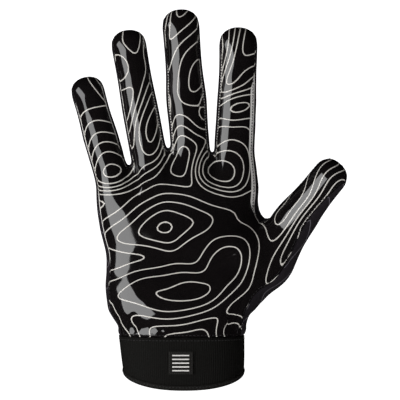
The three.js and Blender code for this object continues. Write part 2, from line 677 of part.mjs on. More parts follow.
// The height of the hem's lower edge: an even curve across the palm side, and level round the back.
const hemHeight = (angle) => HEM_DIP * ease(Math.abs(angle) / HEM_RISE_ANGLE);

// A ring of the cuff between two heights, from a profile of outward offsets and shares of its height.
function cuffRing(bottomOf, topOf, profile) {
  const positions = [];
  const triangles = [];
  for (let c = 0; c < CUFF_COLUMNS; c++) {
    const angle = -180 + (360 * c) / CUFF_COLUMNS;
    for (const [out, up] of profile) {
      const z = lerp(bottomOf(angle), topOf(angle), up);
      const at = cuffPoint(angle, clamp(z / CUFF_HEIGHT, 0, 1), z, out);
      positions.push(at.x, at.y, at.z);
    }
  }
  const n = profile.length;
  for (let c = 0; c < CUFF_COLUMNS; c++) {
    const next = (c + 1) % CUFF_COLUMNS;
    for (let i = 0; i < n; i++) {
      const j = (i + 1) % n;
      triangles.push(c * n + i, next * n + i, next * n + j, c * n + i, next * n + j, c * n + j);
    }
  }
  return closedMesh(positions, triangles);
}

const upTheWall = steps(CUFF_ROWS).map((i) => [0, i / CUFF_ROWS]);
const upTheBinding = BINDING_SECTIONS.map((row) => [BINDING_LIP - row.drawn_in * BINDING_HEIGHT, row.at]);
// The inner side of a ring's wall mirrors its outer side.
const ringProfile = (outerSide) => [
  ...outerSide,
  ...[...outerSide].reverse().map(([out, up]) => [-CUFF_WALL - out, up]),
];
const bindingTop = (angle) => hemHeight(angle) + BINDING_HEIGHT;

// The label lies on the cuff's palm side and follows its curve.
function labelGeometry() {
  const columns = LABEL_COLUMNS;
  const rows = LABEL_ROWS;
  const bottom = CUFF_TOP - LABEL_FROM_TOP - LABEL_HEIGHT;
  const positions = [];
  const triangles = [];
  for (const side of [0, 1]) {
    for (const r of steps(rows)) {
      for (const c of steps(columns)) {
        const x = LABEL_SIDE_SHIFT + LABEL_WIDTH * (c / columns - 0.5);
        const z = bottom + (LABEL_HEIGHT * r) / rows;
        const corner = onCuffFront(x, z, SEAM_GAP + side * LABEL_THICKNESS);
        positions.push(corner.x, corner.y, corner.z);
      }
    }
  }
  const id = (side, r, c) => side * (rows + 1) * (columns + 1) + r * (columns + 1) + c;
  const quad = (a, b, c, d) => triangles.push(a, b, c, a, c, d);
  for (let r = 0; r < rows; r++) {
    for (let c = 0; c < columns; c++) {
      quad(id(1, r, c), id(1, r, c + 1), id(1, r + 1, c + 1), id(1, r + 1, c));
      quad(id(0, r, c), id(0, r + 1, c), id(0, r + 1, c + 1), id(0, r, c + 1));
    }
    quad(id(0, r, 0), id(1, r, 0), id(1, r + 1, 0), id(0, r + 1, 0));
    quad(id(1, r, columns), id(0, r, columns), id(0, r + 1, columns), id(1, r + 1, columns));
  }
  for (let c = 0; c < columns; c++) {
    quad(id(1, 0, c), id(0, 0, c), id(0, 0, c + 1), id(1, 0, c + 1));
    quad(id(0, rows, c), id(1, rows, c), id(1, rows, c + 1), id(0, rows, c + 1));
  }
  return closedMesh(positions, triangles);
}

// The point of the cuff's palm side above a given x, found by halving the angle.
function onCuffFront(x, z, out) {
  let low = -90;
  let high = 90;
  const share = clamp(z / CUFF_HEIGHT, 0, 1);
  for (let i = 0; i < HALVINGS; i++) {
    const middle = (low + high) / 2;
    if (cuffPoint(middle, share, z, out).x < x) low = middle;
    else high = middle;
  }
  return cuffPoint(low, share, z, out);
}

const FINISHES = {
  grip: { color: 0x0b0a0b, roughness: 0.18, metalness: 0 },
  knit: { color: 0x141217, roughness: 0.8, metalness: 0 },
  elastic: { color: 0x12110e, roughness: 0.9, metalness: 0 },
  binding: { color: 0x1a1816, roughness: 0.85, metalness: 0 },
  label: { color: 0x1c1e21, roughness: 0.5, metalness: 0 },
};

const glove = new THREE.Group();
function addPiece(name, geometry, finish) {
  const mesh = new THREE.Mesh(geometry, new THREE.MeshStandardMaterial(FINISHES[finish]));
  mesh.name = name;
  glove.add(mesh);
}

for (const [name, rings] of Object.entries(faces)) {
  const isPalm = name === "palm_panel";
  addPiece(name, skinPiece(rings, isPalm ? PALM_WALL : BACK_WALL), isPalm ? "grip" : "knit");
}
const bandBottom = (angle) => bindingTop(angle) + SEAM_GAP;
const bandTop = () => CUFF_TOP;
addPiece("cuff_band", cuffRing(bandBottom, bandTop, ringProfile(upTheWall)), "elastic");
addPiece("hem_binding", cuffRing(hemHeight, bindingTop, ringProfile(upTheBinding)), "binding");
addPiece("cuff_label", labelGeometry(), "label");

export default glove;
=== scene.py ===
"""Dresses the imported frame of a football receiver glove: printed palm, knit back, elastic cuff and seams.

Each cut piece of the frame is copied, merged, subdivided into a smooth skin and given its cloth or film, and
the seams, stitches and the studio are added. Lengths in the tables are millimetres, as on the cutting plan,
and every finished object is in metres in the frame's own place.
"""

import math

import bmesh
import bpy
import numpy as np
from mathutils import Matrix, Vector
from mathutils.bvhtree import BVHTree


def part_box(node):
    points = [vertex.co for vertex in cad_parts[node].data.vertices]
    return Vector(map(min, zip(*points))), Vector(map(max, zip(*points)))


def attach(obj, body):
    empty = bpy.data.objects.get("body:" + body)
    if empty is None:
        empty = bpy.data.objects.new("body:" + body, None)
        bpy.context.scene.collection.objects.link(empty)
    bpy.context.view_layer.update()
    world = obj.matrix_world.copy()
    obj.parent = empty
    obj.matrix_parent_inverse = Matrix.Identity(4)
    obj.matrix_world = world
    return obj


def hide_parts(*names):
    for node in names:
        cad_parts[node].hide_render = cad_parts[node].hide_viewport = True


bl_info = {
    "name": "Receiver glove",
    "version": (1, 0, 0),
    "blender": (4, 5, 0),
    "location": "3D View > Sidebar > Glove",
    "description": "Skins, seams, prints and studio for a football receiver glove",
    "category": "Object",
}

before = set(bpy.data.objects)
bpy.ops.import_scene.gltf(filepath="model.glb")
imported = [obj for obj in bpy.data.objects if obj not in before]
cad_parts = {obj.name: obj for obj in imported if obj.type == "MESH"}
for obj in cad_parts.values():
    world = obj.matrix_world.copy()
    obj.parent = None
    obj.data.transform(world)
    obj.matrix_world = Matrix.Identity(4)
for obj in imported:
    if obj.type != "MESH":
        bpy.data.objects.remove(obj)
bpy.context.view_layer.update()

MM = 0.001
BODY = "root"
OUTER, INNER, CUT_EDGE = range(3)  # a skin's sides, which are also its material slots
SKIN_LEVELS = 2  # subdivisions of a cut piece
DOUBLES = 0.002 * MM  # points closer than this are one point
RIM_ANGLE = math.radians(48)  # a sharper edge than this belongs to the cut edge of a wall
QUAD_ANGLE = math.radians(40)  # triangles that lie within this angle are joined into one face

# The camera stands where the photograph was taken from: a long lens in front of the palm.
CAMERA_PLACE = (10.5, -1200, 109)
VIEW_WIDTH = 232.6
SENSOR_WIDTH = 36.0
FLOOR_LEVEL = -120
FLOOR_RADIUS = 3000
BACKDROP_RADIUS = 6000
FLOOR_GLOW = 1.1
BACKDROP_GLOW = 1.15
# The softbox stands left of the camera: its angle round the glove in degrees, its distance from the place
# that it is aimed at, its height above that place, and its size.
SOFTBOX = {"angle": -48, "distance": 1100, "height": 20, "wide": 560, "tall": 1060}
LIGHT_AIM = (10, 0, 110)


def table(columns, *lines):
    """Lines of values as dictionaries with the columns' names."""
    return [dict(zip(columns, line)) for line in lines]


# Printed contour lines. Each hill is a place on the skin, seen from the palm side. Core is how far its
# first ring lies to its right, left, top and bottom, and reach is how far apart the next rings are. Turn is
# its tilt in degrees, power its roundness and start the height that it begins at. The rings of all hills
# flow together as the height lines of a map do.
PALM_HILLS = table(
    ("name", "at", "core", "reach", "turn", "power", "start"),
    ("palm_centre", (-8, 93), (7.6, 8.7, 5.8, 5.2), (11, 11.9, 5.1, 4), 12, 1.15, 0),
    ("heel", (1, 57), (18.6, 19.8, 6.4, 7), (5.3, 19.4, 4.4, 4.1), 4, 1.7, 0),
    ("thumb_mound", (24, 69), (5.8, 8.1, 12.8, 9.3), (4.4, 5.3, 6.6, 4.4), -32, 1.8, 0.5),
    ("index_base", (23, 125), (9.9, 9.9, 8.1, 7), (3.3, 1.9, 6.2, 1.6), -18, 2.6, 0),
    ("little_base", (-41, 125), (10.5, 8.7, 5.2, 5.8), (4.9, 3.5, 6.6, 1.6), 17, 1.7, 0),
    ("ring_oval", (-16, 152), (4.7, 5.8, 15.1, 14.5), (2.2, 2.4, 7.5, 4), -10, 2, 0),
    ("little_tip", (-38, 185), (7, 7, 7, 7), (4, 4, 4, 4), 0, 2, 2.6),
    ("ring_tip", (-49, 210), (4.7, 4.7, 4.7, 4.7), (7.1, 6.2, 6.2, 7.5), 30, 2, 2.6),
    ("middle_side", (15, 159), (4.7, 7, 4.7, 4.7), (2.7, 3.5, 3.5, 4), 0, 2, 0.8),
    ("middle_loop", (12, 182), (5.2, 8.7, 15.1, 15.1), (1.8, 5.3, 8.8, 5.7), -26, 1.9, 0),
    ("middle_tip", (-14, 209), (2.9, 2.9, 12.8, 12.8), (1.6, 1.6, 6.2, 6.2), -14, 2, 1.3),
    ("index_oval", (34, 163), (8.7, 8.7, 4.7, 4.7), (6.2, 5.7, 1.9, 2.8), 12, 1.8, 0),
    ("index_slope", (55, 160), (9.3, 9.3, 9.3, 9.3), (5.5, 5.5, 5.5, 5.5), 0, 2, 0.3),
    ("thumb_tip", (92, 116), (4.7, 4.7, 4.7, 4.7), (4.4, 4.4, 4, 3.5), 40, 2, 0.8),
    ("thumb_side", (76, 99), (2.3, 2.3, 15.1, 15.1), (2.7, 2.1, 11.5, 13.3), -36, 1.9, 0.4),
    ("wrist_side", (-52, 18), (19.8, 5.8, 30.2, 5.8), (6.6, 3.5, 3.5, 4.4), 4, 2, 0.3),
    ("thumb_heel", (30, 33), (5.8, 5.2, 4.1, 4.1), (3.5, 4, 4, 4), 40, 2, 1.6),
    ("crotch_side", (48, 116), (3.5, 4.7, 8.1, 5.8), (3.5, 4, 6.2, 4), 0, 2, 2.9),
)
BACK_HILLS = table(
    ("name", "at", "core", "reach", "turn", "power", "start"),
    ("hand_back", (6, 92), (9, 8, 6, 6), (12, 11, 8.5, 9), -18, 1.6, 0),
    ("knuckles", (-22, 120), (7, 7, 5, 5), (9, 10, 7, 8), 10, 2, 0),
    ("index_back", (31, 150), (4, 4, 9, 8), (6, 6, 13, 10), 4, 2, 0),
    ("middle_back", (2, 176), (4, 4, 9, 8), (6, 6, 12, 13), -4, 2, 0),
    ("ring_back", (-26, 168), (4, 4, 8, 8), (6, 6, 12, 10), -10, 2, 0),
    ("little_back", (-50, 150), (4, 4, 8, 8), (6, 6, 10, 11), 16, 2, 0),
    ("thumb_side", (66, 84), (3, 3, 9, 9), (5, 5, 13, 12), -38, 2, 0),
    ("wrist_back", (8, 46), (12, 12, 4, 4), (16, 15, 6, 6), 6, 2, 0),
)
MERGE_SHARPNESS = 2.6  # how abruptly one hill's rings turn into the next one's
PLAIN_LEVEL = 6.65  # no ring is drawn above this height, which leaves plain film between the hills
SMOOTHING = 5  # the map is averaged over a disk of this radius, so that its lines bend softly
PRINT_ROLL = 10  # half a finger's width: the print follows the skin round it
WAVE = {"height": 0.1, "long": 29, "cross": 41}  # unevenness of the rings, and its lengths

# Where a pale strip shows beside the seam: from and to as places seen from the palm side, and its width.
# Stitched ones have a row of dark stitches on them and are the film's pale cut edge; the unstitched ones
# are a painted highlight along the glossy film's edge.
PALE_EDGES_AND_GLINTS = table(
    ("name", "from", "to", "wide", "stitched"),
    ("index_outer", (45, 183), (47, 98), 3.2, True),
    ("middle_inner", (-10, 189), (-5, 132), 0.9, True),
    # The next three rows are a painted highlight along the glossy film's edge, not pale film.
    ("palm_edge", (-50, 117), (-43, 70), 0.7, False),
    ("little_outer", (-61, 168), (-52, 126), 0.5, False),
    ("ring_inner", (-39, 180), (-31, 140), 0.5, False),
    ("index_inner", (20, 192), (20, 140), 0.6, True),
)
PALE_REACH = 9  # a seam point belongs to one of these rows within this distance of its line
PALE_FADE = 0.12  # the share of its length over which the edge narrows to nothing at each end
STITCHED_SHARE = 0.04  # the stitches stop this share of the length before each end
STITCH_BESIDE = 0.45  # the stitches run at this share of the edge's width

LABEL_STRIPES = {"count": 5, "long": 9.6, "high": 0.7}  # plain woven stripes across the patch

# From one loop, rib, yarn or twist to the next
PITCH = {
    "back": 0.9,
    "gusset": 0.8,
    "lining": 1.1,
    "rib": 1.25,
    "yarn": 0.85,
    "twill": 0.7,
    "weft": 0.5,
    "warp": 0.6,
    "twist": 0.4,
}
LOOP_RISE = 1.25  # a knit loop's height as a share of its width
LEAST_SLOPE = 0.004  # the map is taken to be no flatter than this, so that nothing is divided by zero

# Rows of stitches: from the middle of one to the next, length, thickness, and how far it stands proud
STITCHES = {
    "edge": {"spacing": 1.6, "long": 0.85, "thick": 0.6, "lift": 0.1},
    "cuff_top": {"spacing": 2.0, "long": 1.3, "thick": 0.36, "lift": 0.06},
    "hem": {"spacing": 1.9, "long": 1.2, "thick": 0.36, "lift": 0.06},
    "patch": {"spacing": 1.1, "long": 0.7, "thick": 0.26, "lift": 0.05},
}
SEAM_STITCH = {"thick": 0.4, "lift": 0.05}  # its spacing and length are among the glove's settings
SEAM_INSET = 0.9  # the palm's stitches run this far from its border
CUFF_TOP_INSET = 1.7  # the cuff's run this far below its upper edge
HEM_SHARE = 0.62  # the hem's run at this share of the binding's height
PATCH_INSET = 0.7  # the patch's run this far inside its border
CUFF_THREAD = 1.6  # the cuff's thread is lighter than the palm's by this factor
PATCH_STEPS = 8  # places along each side of the patch
STITCH_SIDES = 6  # faces round one stitch
STITCH_DIP = 0.25  # a stitch is pressed into the cloth by this share of its thickness
RING_STEPS = 180  # places round the wrist
RING_SECTORS = 40  # parts of the ring whose edges are measured
FAR_OUT = 100  # rays towards a piece start this far out

# The taut knit in the crotch of the thumb is drawn down to a point here.
PINCH = {"at": (48, 99), "down": 2.4, "wide": 4.5}

# Small gathers of the skin above the cuff: middle, half width and half height, from fold to fold, depth, and
# how far the folds lean with each millimetre upwards.
GATHERS = table(
    ("name", "x", "z", "wide", "high", "spacing", "depth", "lean"),
    ("heel_side", -36, 36, 7, 7, 4.4, 0.26, -0.22),
    ("thumb_side", 33, 39, 11, 10, 4, 0.6, 0.3),
    ("middle", -2, 35, 22, 4, 5.2, 0.07, 0.05),
)
# Soft full places of the palm: a low ridge along a line, its half width and height
SWELLS = table(
    ("name", "from", "to", "wide", "high"),
    ("little_side", (-41, 114), (-25, 34), 9, 0.55),
)
GATHER_FADE = 3  # the gathers grow over this height above the cuff
SWELL_FADE = 0.2  # the share of its length over which a ridge rises at each end
SWELL_TURN = 0.3  # a ridge fades out where the skin faces the palm's side by less than this share
SLACK = {"height": 0.07, "long": 11}  # unevenness of cloth over a hand
TUCK = 0.6  # how far the elastic reaches into the binding
TUCK_HEIGHT = 1.5  # the part of the elastic that is drawn down with its edge
SEAM_STEP = 0.4  # a seam line's points are this close together where distances to it are measured
SEAM_BATCH = 400  # points of a seam line that are measured at a time


class GloveSettings(bpy.types.PropertyGroup):
    """Sizes and colours that a user would change."""

    line_width: bpy.props.FloatProperty(
        name="Line width",
        description="Width of a printed contour line",
        default=0.62 * MM,
        unit="LENGTH",
    )
    grip_colour: bpy.props.FloatVectorProperty(
        name="Grip film",
        description="Colour of the glossy grip film on the palm",
        default=(0.0032, 0.0027, 0.0028),
        subtype="COLOR",
    )
    line_colour: bpy.props.FloatVectorProperty(
        name="Printed line",
        description="Colour of the lines printed on the palm",
        default=(0.5, 0.48, 0.445),
        subtype="COLOR",
    )
    knit_colour: bpy.props.FloatVectorProperty(
        name="Knit",
        description="Colour of the stretch knit on the back",
        default=(0.0074, 0.0056, 0.0078),
        subtype="COLOR",
    )
    knit_line_colour: bpy.props.FloatVectorProperty(
        name="Knit line",
        description="Colour of the dim lines printed on the back",
        default=(0.1, 0.092, 0.108),
        subtype="COLOR",
    )
    cuff_colour: bpy.props.FloatVectorProperty(
        name="Cuff",
        description="Colour of the elastic cuff",
        default=(0.0034, 0.0031, 0.0025),
        subtype="COLOR",
    )
    thread_colour: bpy.props.FloatVectorProperty(
        name="Thread",
        description="Colour of the sewing thread",
        default=(0.012, 0.011, 0.012),
        subtype="COLOR",
    )
    # Also the colour of the painted highlight along the glossy film's edge, besides the pale cut edge and
    # the label's stripes.
    pale_and_glint_colour: bpy.props.FloatVectorProperty(
        name="Edge film",
        description="Colour of the film's pale cut edge",
        default=(0.66, 0.64, 0.62),
        subtype="COLOR",
    )
    stitch_length: bpy.props.FloatProperty(
        name="Stitch",
        description="Length of one sewn stitch",
        default=1.5 * MM,
        unit="LENGTH",
    )
    stitch_gap: bpy.props.FloatProperty(
        name="Stitch spacing",
        description="From the middle of one stitch to the next",
        default=2.2 * MM,
        unit="LENGTH",
    )


class GloveStudio(bpy.types.PropertyGroup):
    """The studio round the glove."""

    softbox_strength: bpy.props.FloatProperty(
        name="Softbox",
        description="Brightness of the tall softbox that the film mirrors",
        default=6.4,
    )
    fill_strength: bpy.props.FloatProperty(
        name="Fill",
        description="Brightness of the room round the glove",
        default=0.2,
    )


# Materials


class Wire:
    """A shader socket whose Python arithmetic adds Math nodes to its material."""

    def __init__(self, shop, socket):
        self.shop = shop
        self.socket = socket

    def __add__(self, other):
        return self.shop.math("ADD", self, other)

    def __radd__(self, other):
        return self.shop.math("ADD", other, self)

    def __sub__(self, other):
        return self.shop.math("SUBTRACT", self, other)

    def __rsub__(self, other):
        return self.shop.math("SUBTRACT", other, self)

    def __mul__(self, other):
        return self.shop.math("MULTIPLY", self, other)

    def __rmul__(self, other):
        return self.shop.math("MULTIPLY", other, self)

    def __truediv__(self, other):
        return self.shop.math("DIVIDE", self, other)

    def __rtruediv__(self, other):
        return self.shop.math("DIVIDE", other, self)

    def __lt__(self, other):
        return self.shop.math("LESS_THAN", self, other)

    def __gt__(self, other):
        return self.shop.math("GREATER_THAN", self, other)


class Shop:
    """One material being built."""

    def __init__(self, name):
        self.material = bpy.data.materials.new(name)
        self.material.use_nodes = True
        self.tree = self.material.node_tree
        self.tree.nodes.clear()

    def node(self, kind, settings=None, *values, output=0, **named):
        node = self.tree.nodes.new(kind)
        for key, value in (settings or {}).items():
            setattr(node, key, value)
        for key, value in [*enumerate(values), *named.items()]:
            socket = node.inputs[key if isinstance(key, int) else key.replace("_", " ")]
            if isinstance(value, Wire):
                self.tree.links.new(value.socket, socket)
            else:
                socket.default_value = value
        return Wire(self, node.outputs[output])

    def math(self, operation, *values):
        return self.node("ShaderNodeMath", {"operation": operation}, *values)

    def waves(self, value, pitch):
        """A sine wave along a value, whose length is in the value's own unit."""
        return self.math("SINE", value * (2 * math.pi / pitch))

    def attribute(self, name):
        return self.node("ShaderNodeAttribute", {"attribute_name": name}, output="Fac")

    def place(self):
        return self.node("ShaderNodeTexCoord", output="Object")

    def split(self, vector):
        parts = self.node("ShaderNodeSeparateXYZ", None, vector)
        return [Wire(self, parts.socket.node.outputs[i]) for i in range(3)]

    def noise(self, place, scale, detail=2.0, roughness=0.5):
        return self.node(
            "ShaderNodeTexNoise", None, Vector=place, Scale=scale, Detail=detail, Roughness=roughness
        )

    def smooth(self, value, low, high):
        """0 below low and 1 above high, eased in between."""
        return self.node(
            "ShaderNodeMapRange",
            {"interpolation_type": "SMOOTHSTEP"},
            Value=value,
            From_Min=low,
            From_Max=high,
            To_Min=0.0,
            To_Max=1.0,
        )

    def blend(self, share, first, second):
        """A mix of two colours."""
        node = self.tree.nodes.new("ShaderNodeMix")
        node.data_type = "RGBA"
        for key, value in ((0, share), (6, first), (7, second)):
            if isinstance(value, Wire):
                self.tree.links.new(value.socket, node.inputs[key])
            else:
                node.inputs[key].default_value = value
        return Wire(self, node.outputs[2])

    def bump(self, height, distance, strength=1.0, normal=None):
        sockets = {"Height": height, "Distance": distance, "Strength": strength}
        if normal:
            sockets["Normal"] = normal
        return self.node("ShaderNodeBump", None, **sockets)

    def finish(self, **inputs):
        skin = self.node("ShaderNodeBsdfPrincipled", None, **inputs)
        end = self.tree.nodes.new("ShaderNodeOutputMaterial")
        self.tree.links.new(skin.socket, end.inputs["Surface"])
        return self.material


def opaque(colour, factor=1.0):
    """A colour for a socket, darker or lighter by a factor."""
    return (*(factor * c for c in colour[:3]), 1.0)


def settings():
    return bpy.context.scene.glove_settings


def contour_mask(shop, width):
    """1 on the printed lines, from the height of the map and its slope across the skin."""
    height = shop.attribute("contour")
    slope = shop.attribute("slope")
    off = shop.math("ABSOLUTE", height - shop.math("ROUND", height))
    off_mm = off / shop.math("MAXIMUM", slope, LEAST_SLOPE)
    half = width / MM / 2
    return 1.0 - shop.smooth(off_mm, half * 0.8, half * 1.2)


def grip_film():
    """Glossy black film with printed lines, and a pale strip along the seams: its cut edge where stitched,
    and a painted highlight of its glossy edge elsewhere.
    """
    s = settings()
    shop = Shop("grip_film")
    place = shop.place()
    lines = contour_mask(shop, s.line_width)
    grain = shop.noise(place, 900.0, detail=3.0, roughness=0.6)
    patches = shop.noise(place, 45.0)
    dents = shop.noise(place, 130.0, roughness=0.4)
    edge = shop.attribute("edge")
    # pale is the strip beside the seam: the film's cut edge on stitched rows and a painted highlight of its
    # edge on the others.
    pale = shop.smooth(shop.attribute("pale") - edge, -0.05, 0.25) * (0.7 + 0.3 * grain)
    ink = shop.blend(grain, opaque(s.line_colour, 0.86), opaque(s.line_colour))
    film = shop.blend(patches, opaque(s.grip_colour), opaque(s.grip_colour, 1.7))
    colour = shop.blend(pale, shop.blend(lines, film, ink), opaque(s.pale_and_glint_colour))
    roughness = 0.035 + 0.05 * shop.smooth(patches, 0.45, 0.75) + 0.12 * lines + 0.35 * pale
    stitch_line = (1.0 - shop.smooth(edge, 0.9, 1.5)) * shop.noise(place, 420.0, detail=1.0)
    relief = shop.bump(lines, 0.03 * MM, strength=0.5)
    relief = shop.bump(dents, 0.05 * MM, strength=0.4, normal=relief)
    relief = shop.bump(1.0 - stitch_line, 0.25 * MM, strength=0.7, normal=relief)
    return shop.finish(Base_Color=colour, Roughness=roughness, Normal=relief, IOR=1.46)


def knit_height(shop, place, pitch):
    """Rows of small loops, from a wave across and a wave up."""
    x, y, z = shop.split(place)
    across = shop.waves(x + 0.6 * y, pitch * MM)
    up = shop.waves(z + 0.25 * y, LOOP_RISE * pitch * MM)
    return across * up


def back_knit():
    """Matte stretch knit with dim printed lines."""
    s = settings()
    shop = Shop("back_knit")
    place = shop.place()
    lines = contour_mask(shop, s.line_width * 0.8)
    loops = knit_height(shop, place, PITCH["back"])
    fuzz = shop.noise(place, 1400.0, roughness=0.6)
    patches = shop.noise(place, 30.0)
    cloth = shop.blend(patches, opaque(s.knit_colour, 0.8), opaque(s.knit_colour, 1.35))
    cloth = shop.blend(0.25 + 0.25 * loops, cloth, opaque(s.knit_colour, 1.9))
    colour = shop.blend(lines * (0.55 + 0.4 * fuzz), cloth, opaque(s.knit_line_colour))
    roughness = 0.78 + 0.12 * patches
    relief = shop.bump(loops, 0.12 * MM, strength=0.6)
    relief = shop.bump(fuzz, 0.05 * MM, strength=0.5, normal=relief)
    return shop.finish(Base_Color=colour, Roughness=roughness, Normal=relief, Specular_IOR_Level=0.16)


def gusset_knit():
    """Plain matte knit between the fingers."""
    s = settings()
    shop = Shop("gusset_knit")
    place = shop.place()
    loops = knit_height(shop, place, PITCH["gusset"])
    light = 0.4 + 0.3 * loops + 0.2 * shop.noise(place, 60.0)
    colour = shop.blend(light, opaque(s.knit_colour, 0.8), opaque(s.knit_colour, 1.8))
    relief = shop.bump(loops, 0.12 * MM, strength=0.7)
    return shop.finish(Base_Color=colour, Roughness=0.84, Normal=relief, Specular_IOR_Level=0.16)


def cuff_elastic():
    """Wide elastic with fine upright ribs and crossing yarns."""
    s = settings()
    shop = Shop("cuff_elastic")
    place = shop.place()
    z = shop.split(place)[2]
    ribs = shop.waves(shop.attribute("around"), PITCH["rib"])
    yarns = shop.waves(z, PITCH["yarn"] * MM)
    fuzz = shop.noise(place, 1100.0, roughness=0.6)
    weave = 0.5 + 0.32 * ribs + 0.12 * yarns + 0.2 * (fuzz - 0.5)
    colour = shop.blend(weave, opaque(s.cuff_colour, 0.55), opaque(s.cuff_colour, 1.6))
    roughness = 0.86 - 0.1 * fuzz
    relief = shop.bump(weave, 0.35 * MM, strength=0.7)
    return shop.finish(Base_Color=colour, Roughness=roughness, Normal=relief, Specular_IOR_Level=0.16)


def hem_tape():
    """Folded binding with a fine twill."""
    s = settings()
    shop = Shop("hem_tape")
    place = shop.place()
    z = shop.split(place)[2]
    twill = shop.waves(shop.attribute("around") + z / MM, PITCH["twill"])
    fuzz = shop.noise(place, 900.0, roughness=0.6)
    colour = shop.blend(0.5 + 0.4 * twill, opaque(s.cuff_colour), opaque(s.cuff_colour, 2.6))
    roughness = 0.7 + 0.1 * fuzz
    relief = shop.bump(0.5 * twill + fuzz, 0.12 * MM, strength=0.6)
    return shop.finish(Base_Color=colour, Roughness=roughness, Normal=relief, Specular_IOR_Level=0.2)


def label_patch():
    """Smooth woven patch with plain stripes, bare of words."""
    s = settings()
    shop = Shop("label_patch")
    place = shop.place()
    x, _, z = shop.split(place)
    weft = shop.waves(z, PITCH["weft"] * MM)
    warp = shop.waves(x, PITCH["warp"] * MM)
    weave = 0.5 + 0.4 * weft * warp
    colour = shop.blend(weave, opaque(s.cuff_colour, 1.6), opaque(s.cuff_colour, 3.4))
    low, high = (Vector(corner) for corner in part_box("cuff_label"))
    off_x = shop.math("ABSOLUTE", x - 0.5 * (low.x + high.x))
    for k in range(LABEL_STRIPES["count"]):
        level = low.z + (k + 1) / (LABEL_STRIPES["count"] + 1) * (high.z - low.z)
        off_z = shop.math("ABSOLUTE", z - level)
        stripe = (off_z < LABEL_STRIPES["high"] * MM / 2) * (off_x < LABEL_STRIPES["long"] * MM / 2)
        colour = shop.blend(stripe * (0.85 + 0.15 * warp), colour, opaque(s.pale_and_glint_colour))
    roughness = 0.62 + 0.08 * shop.noise(place, 300.0)
    relief = shop.bump(weft * warp, 0.08 * MM, strength=0.6)
    return shop.finish(Base_Color=colour, Roughness=roughness, Normal=relief, Specular_IOR_Level=0.2)


def lining():
    """Brushed tricot inside the glove."""
    shop = Shop("lining")
    place = shop.place()
    loops = knit_height(shop, place, PITCH["lining"])
    fuzz = shop.noise(place, 700.0, detail=3.0, roughness=0.6)
    colour = shop.blend(0.4 * fuzz + 0.2 * loops, (0.02, 0.02, 0.022, 1.0), (0.07, 0.07, 0.075, 1.0))
    relief = shop.bump(loops + fuzz, 0.15 * MM, strength=0.6)
    return shop.finish(Base_Color=colour, Roughness=0.9, Normal=relief, Specular_IOR_Level=0.25)


def twisted_thread(name, colour):
    """Sewing thread with its twist."""
    shop = Shop(name)
    place = shop.place()
    x, y, z = shop.split(place)
    twist = shop.waves(x + y + 1.7 * z, PITCH["twist"] * MM)
    shade = shop.noise(place, 220.0)
    mixed = shop.blend(0.3 + 0.3 * twist + 0.3 * shade, opaque(colour, 0.6), opaque(colour, 1.25))
    relief = shop.bump(twist, 0.04 * MM, strength=0.6)
    return shop.finish(Base_Color=mixed, Roughness=0.5 + 0.1 * shade, Normal=relief)


def studio_paper(name, glow):
    """Pale backdrop paper."""
    shop = Shop(name)
    shade = shop.blend(shop.noise(shop.place(), 60.0), (0.93, 0.93, 0.93, 1.0), (0.95, 0.95, 0.95, 1.0))
    return shop.finish(
        Base_Color=shade,
        Roughness=0.9,
        Emission_Color=shade,
        Emission_Strength=glow,
        Specular_IOR_Level=0.0,
    )


_made = {}


def material(maker, *words):
    """Each material is made once."""
    key = (maker.__name__, *words)
    if key not in _made:
        _made[key] = maker(*words)
    return _made[key]


# Skins


def merged_copy(node):
    """A bmesh of a frame node with its doubles merged, the crotch drawn down and its triangles joined."""
    bm = bmesh.new()
    bm.from_mesh(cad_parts[node].data)
    bmesh.ops.remove_doubles(bm, verts=bm.verts, dist=DOUBLES)
    for vert in bm.verts:
        off = math.hypot(vert.co.x - PINCH["at"][0] * MM, vert.co.z - PINCH["at"][1] * MM) / MM
        vert.co.z -= PINCH["down"] * MM * math.exp(-((off / PINCH["wide"]) ** 2))
    bmesh.ops.join_triangles(
        bm, faces=bm.faces, angle_face_threshold=QUAD_ANGLE, angle_shape_threshold=QUAD_ANGLE
    )
    bm.normal_update()
    return bm


def sort_walls(bm):
    """Marks each face as outer, inner or cut edge, and creases both sides of the cut edge."""
    sharp = {e for e in bm.edges if len(e.link_faces) == 2 and e.calc_face_angle() > RIM_ANGLE}
    rim = {f for f in bm.faces if sum(e in sharp for e in f.edges) >= 2}
    seen = set()
    walls = []
    for start in bm.faces:
        if start in seen or start in rim:
            continue
        wall = []
        todo = [start]
        seen.add(start)
        while todo:
            face = todo.pop()
            wall.append(face)
            for edge in face.edges:
                if edge in sharp:
                    continue
                for other in edge.link_faces:
                    if other not in seen and other not in rim:
                        seen.add(other)
                        todo.append(other)
        walls.append(wall)
    walls.sort(key=lambda wall: -sum(f.calc_area() for f in wall))
    for face in bm.faces:
        face.material_index = CUT_EDGE
    for kind, wall in zip((OUTER, INNER), walls):
        for face in wall:
            face.material_index = kind
    crease = bm.edges.layers.float.new("crease_edge")
    for edge in bm.edges:
        kinds = {f.material_index for f in edge.link_faces}
        if len(kinds) > 1 or edge in sharp:
            edge[crease] = 1.0


def rim_loop(bm):
    """The points and outward directions along the outer wall's border, in order."""
    edges = []
    for edge in bm.edges:
        kinds = {f.material_index for f in edge.link_faces}
        if OUTER in kinds and len(kinds) > 1:
            edges.append(edge)
    links = {}
    for edge in edges:
        for vert in edge.verts:
            links.setdefault(vert, []).append(edge)
    loops = []
    left = dict.fromkeys(edges)
    while left:
        edge = next(iter(left))
        del left[edge]
        first, here = edge.verts
        loop = [first, here]
        while True:
            onward = [e for e in links[here] if e in left]
            if not onward:
                break
            del left[onward[0]]
            here = onward[0].other_vert(here)
            if here is first:
                break
            loop.append(here)
        loops.append(loop)
    loops.sort(key=len, reverse=True)
    return [(v.co.copy(), outer_normal(v)) for v in loops[0]]


def outer_normal(vert):
    total = Vector()
    for face in vert.link_faces:
        if face.material_index == OUTER:
            total += face.normal * face.calc_area()
    return total.normalized()


